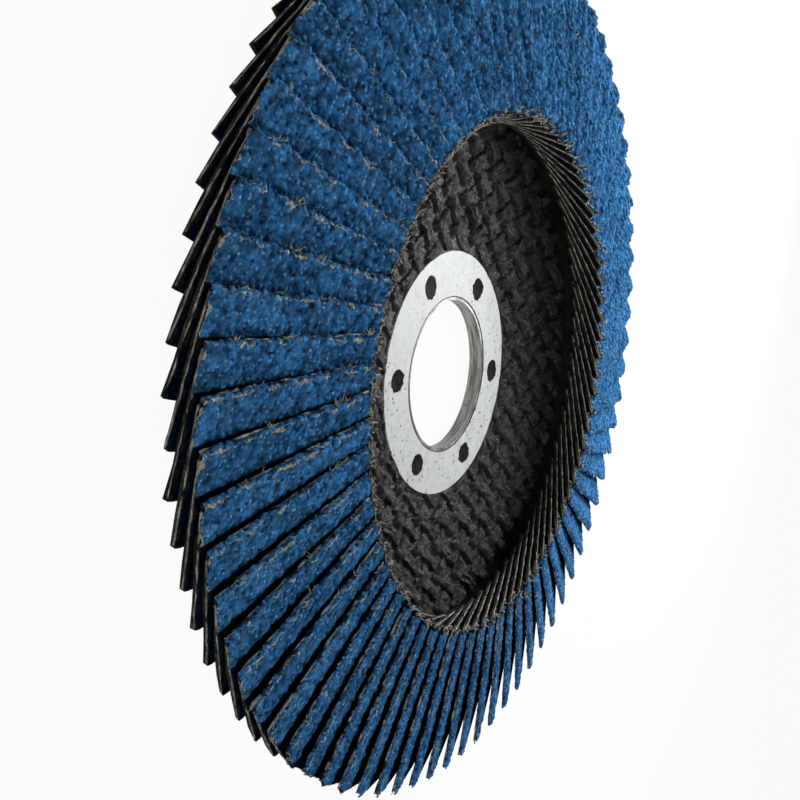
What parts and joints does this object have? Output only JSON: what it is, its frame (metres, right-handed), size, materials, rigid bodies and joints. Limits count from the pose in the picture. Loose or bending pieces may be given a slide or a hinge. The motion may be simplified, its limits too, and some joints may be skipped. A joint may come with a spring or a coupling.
{
  "type": "flap disc",
  "caption": "Conical flap disc for an angle grinder: a fan of overlapping abrasive cloth flaps glued round a dished mesh plate with a steel hub.",
  "frame": {"origin": "on the bore axis, in the plane of the hub collar's back face, which the disc lies on", "axes": "+Z along the bore axis towards the abrasive side; +X and +Y lie in the plane of the disc"},
  "size_m": [0.125, 0.125, 0.0129],
  "materials": {
    "abrasive_cloth": "coarse blue abrasive grain on cloth",
    "mesh_plate": "black resin over coarse glass mesh",
    "adhesive": "smooth black adhesive",
    "hub_steel": "satin with fine scratches"
  },
  "bodies": {
    "root": {"hub_collar": "hub_steel", "hub_washer": "hub_steel", "backing_plate": "mesh_plate", "adhesive_bed": "adhesive", "flap_pair_01": "abrasive_cloth", "flap_pair_02": "abrasive_cloth", "flap_pair_03": "abrasive_cloth", "flap_pair_04": "abrasive_cloth", "flap_pair_05": "abrasive_cloth", "flap_pair_06": "abrasive_cloth", "flap_pair_07": "abrasive_cloth", "flap_pair_08": "abrasive_cloth", "flap_pair_09": "abrasive_cloth", "flap_pair_10": "abrasive_cloth", "flap_pair_11": "abrasive_cloth", "flap_pair_12": "abrasive_cloth", "flap_pair_13": "abrasive_cloth", "flap_pair_14": "abrasive_cloth", "flap_pair_15": "abrasive_cloth", "flap_pair_16": "abrasive_cloth", "flap_pair_17": "abrasive_cloth", "flap_pair_18": "abrasive_cloth", "flap_pair_19": "abrasive_cloth", "flap_pair_20": "abrasive_cloth", "flap_pair_21": "abrasive_cloth", "flap_pair_22": "abrasive_cloth", "flap_pair_23": "abrasive_cloth", "flap_pair_24": "abrasive_cloth", "flap_pair_25": "abrasive_cloth", "flap_pair_26": "abrasive_cloth", "flap_pair_27": "abrasive_cloth", "flap_pair_28": "abrasive_cloth", "flap_pair_29": "abrasive_cloth", "flap_pair_30": "abrasive_cloth", "flap_pair_31": "abrasive_cloth", "flap_pair_32": "abrasive_cloth", "flap_pair_33": "abrasive_cloth", "flap_pair_34": "abrasive_cloth", "flap_pair_35": "abrasive_cloth", "flap_pair_36": "abrasive_cloth"}
  },
  "joints": []
}
